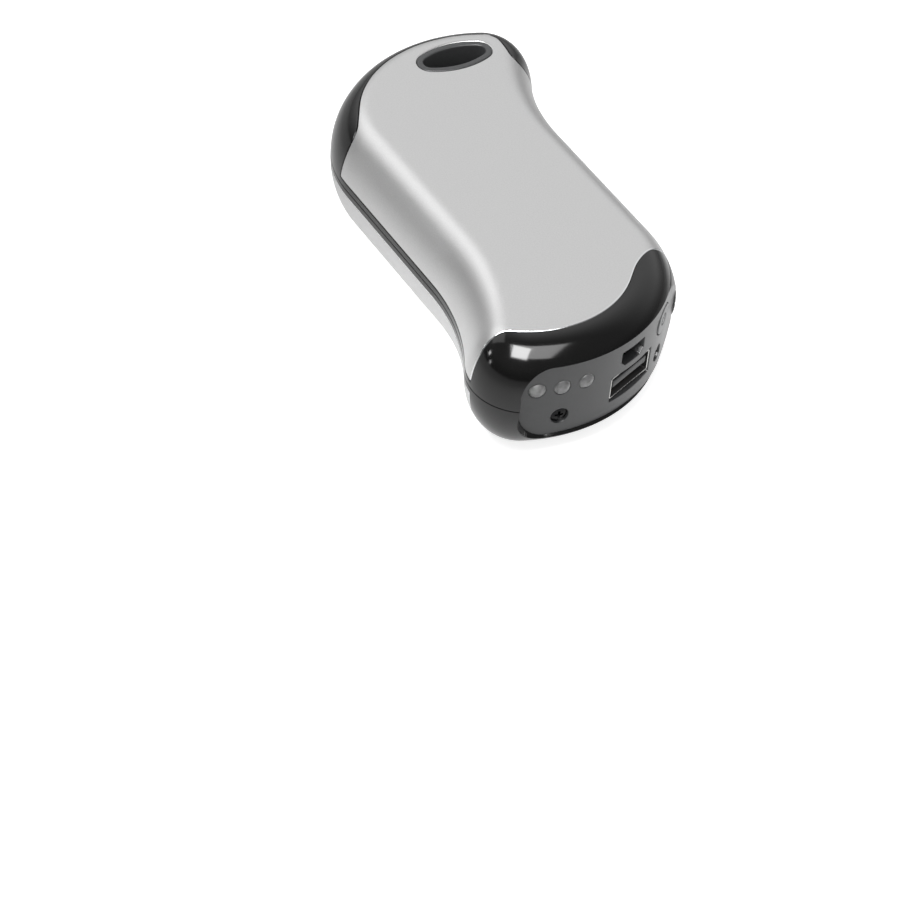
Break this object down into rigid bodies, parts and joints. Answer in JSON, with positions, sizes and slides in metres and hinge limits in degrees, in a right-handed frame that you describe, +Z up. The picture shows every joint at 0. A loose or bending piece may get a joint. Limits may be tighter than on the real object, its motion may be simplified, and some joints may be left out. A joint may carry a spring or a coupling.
{
  "type": "rechargeable hand warmer",
  "caption": "Palm-sized rechargeable hand warmer with a wavy outline, curved metal heating plates, black end caps, a port panel with a button and lights, and a lanyard hole.",
  "frame": {"origin": "centre of the body in plan, at the underside of the back heating plate that it lies on", "axes": "+Z up through the thickness, towards the front plate; +Y along the length, towards the lanyard hole, so the port panel is at -Y; +X to the right seen from above with the lanyard hole up"},
  "size_m": [0.0584, 0.1076, 0.0276],
  "materials": {
    "plate_aluminium": "bead-blasted, anodised silver sheet",
    "case_gloss_black": "moulded, polished black ABS",
    "panel_satin_grey": "moulded, satin dark grey ABS",
    "grommet_grey": "moulded, satin mid grey",
    "button_grey": "moulded, satin light grey",
    "light_clear": "clear, slightly milky acrylic",
    "screw_black": "black zinc-plated steel",
    "steel_shell": "tin-plated steel",
    "contact_gold": "gold-plated contact",
    "insulator_black": "moulded black nylon",
    "board_green": "green solder mask on glass-fibre board",
    "chip_black": "moulded epoxy",
    "can_aluminium": "drawn aluminium can",
    "ferrite_grey": "sintered ferrite",
    "cell_sleeve": "shrink sleeve, blue, over a wound cell",
    "nickel_strip": "nickel strip, spot welded",
    "cradle_nylon": "moulded natural nylon",
    "pad_foam": "closed-cell foam pad",
    "film_polyimide": "amber polyimide film",
    "wire_red": "PVC wire sleeve",
    "wire_white": "PVC wire sleeve",
    "switch_black": "moulded nylon",
    "plunger_white": "moulded nylon"
  },
  "bodies": {
    "case": {"back_housing": "case_gloss_black", "front_housing": "case_gloss_black", "back_heater_film": "film_polyimide", "front_heater_film": "film_polyimide", "back_heat_plate": "plate_aluminium", "front_heat_plate": "plate_aluminium", "lanyard_grommet": "grommet_grey", "case_screws": "screw_black", "battery_cradle": "cradle_nylon", "battery_cell_left": "cell_sleeve", "battery_cell_right": "cell_sleeve", "battery_tabs": "nickel_strip", "cell_pad_left": "pad_foam", "cell_pad_right": "pad_foam", "battery_leads": "wire_red", "heater_leads": "wire_white", "thermistor": "chip_black", "circuit_board": "board_green", "inductor": "ferrite_grey", "charger_chip": "chip_black", "capacitor": "can_aluminium", "usb_a_shell": "steel_shell", "usb_a_insulator": "insulator_black", "usb_a_contacts": "contact_gold", "micro_usb_shell": "steel_shell", "micro_usb_insulator": "insulator_black", "status_light_left": "light_clear", "status_light_middle": "light_clear", "status_light_right": "light_clear", "power_switch": "switch_black", "end_panel": "panel_satin_grey", "panel_screws": "screw_black"},
    "button": {"power_button": "button_grey"},
    "plunger": {"switch_plunger": "plunger_white"}
  },
  "joints": [
    {"name": "power_button_press", "type": "slide", "parent": "case", "child": "button", "axis": [-0.6678, 0.7443, 0], "range_m": [0, 0.0004], "stiffness_N_per_m": 300},
    {"name": "switch_plunger_press", "type": "slide", "parent": "case", "child": "plunger", "axis": [-0.6678, 0.7443, 0], "range_m": [0, 0.0004]}
  ],
  "couplings": [
    {"joint": "switch_plunger_press", "follows": "power_button_press", "ratio": 1}
  ]
}
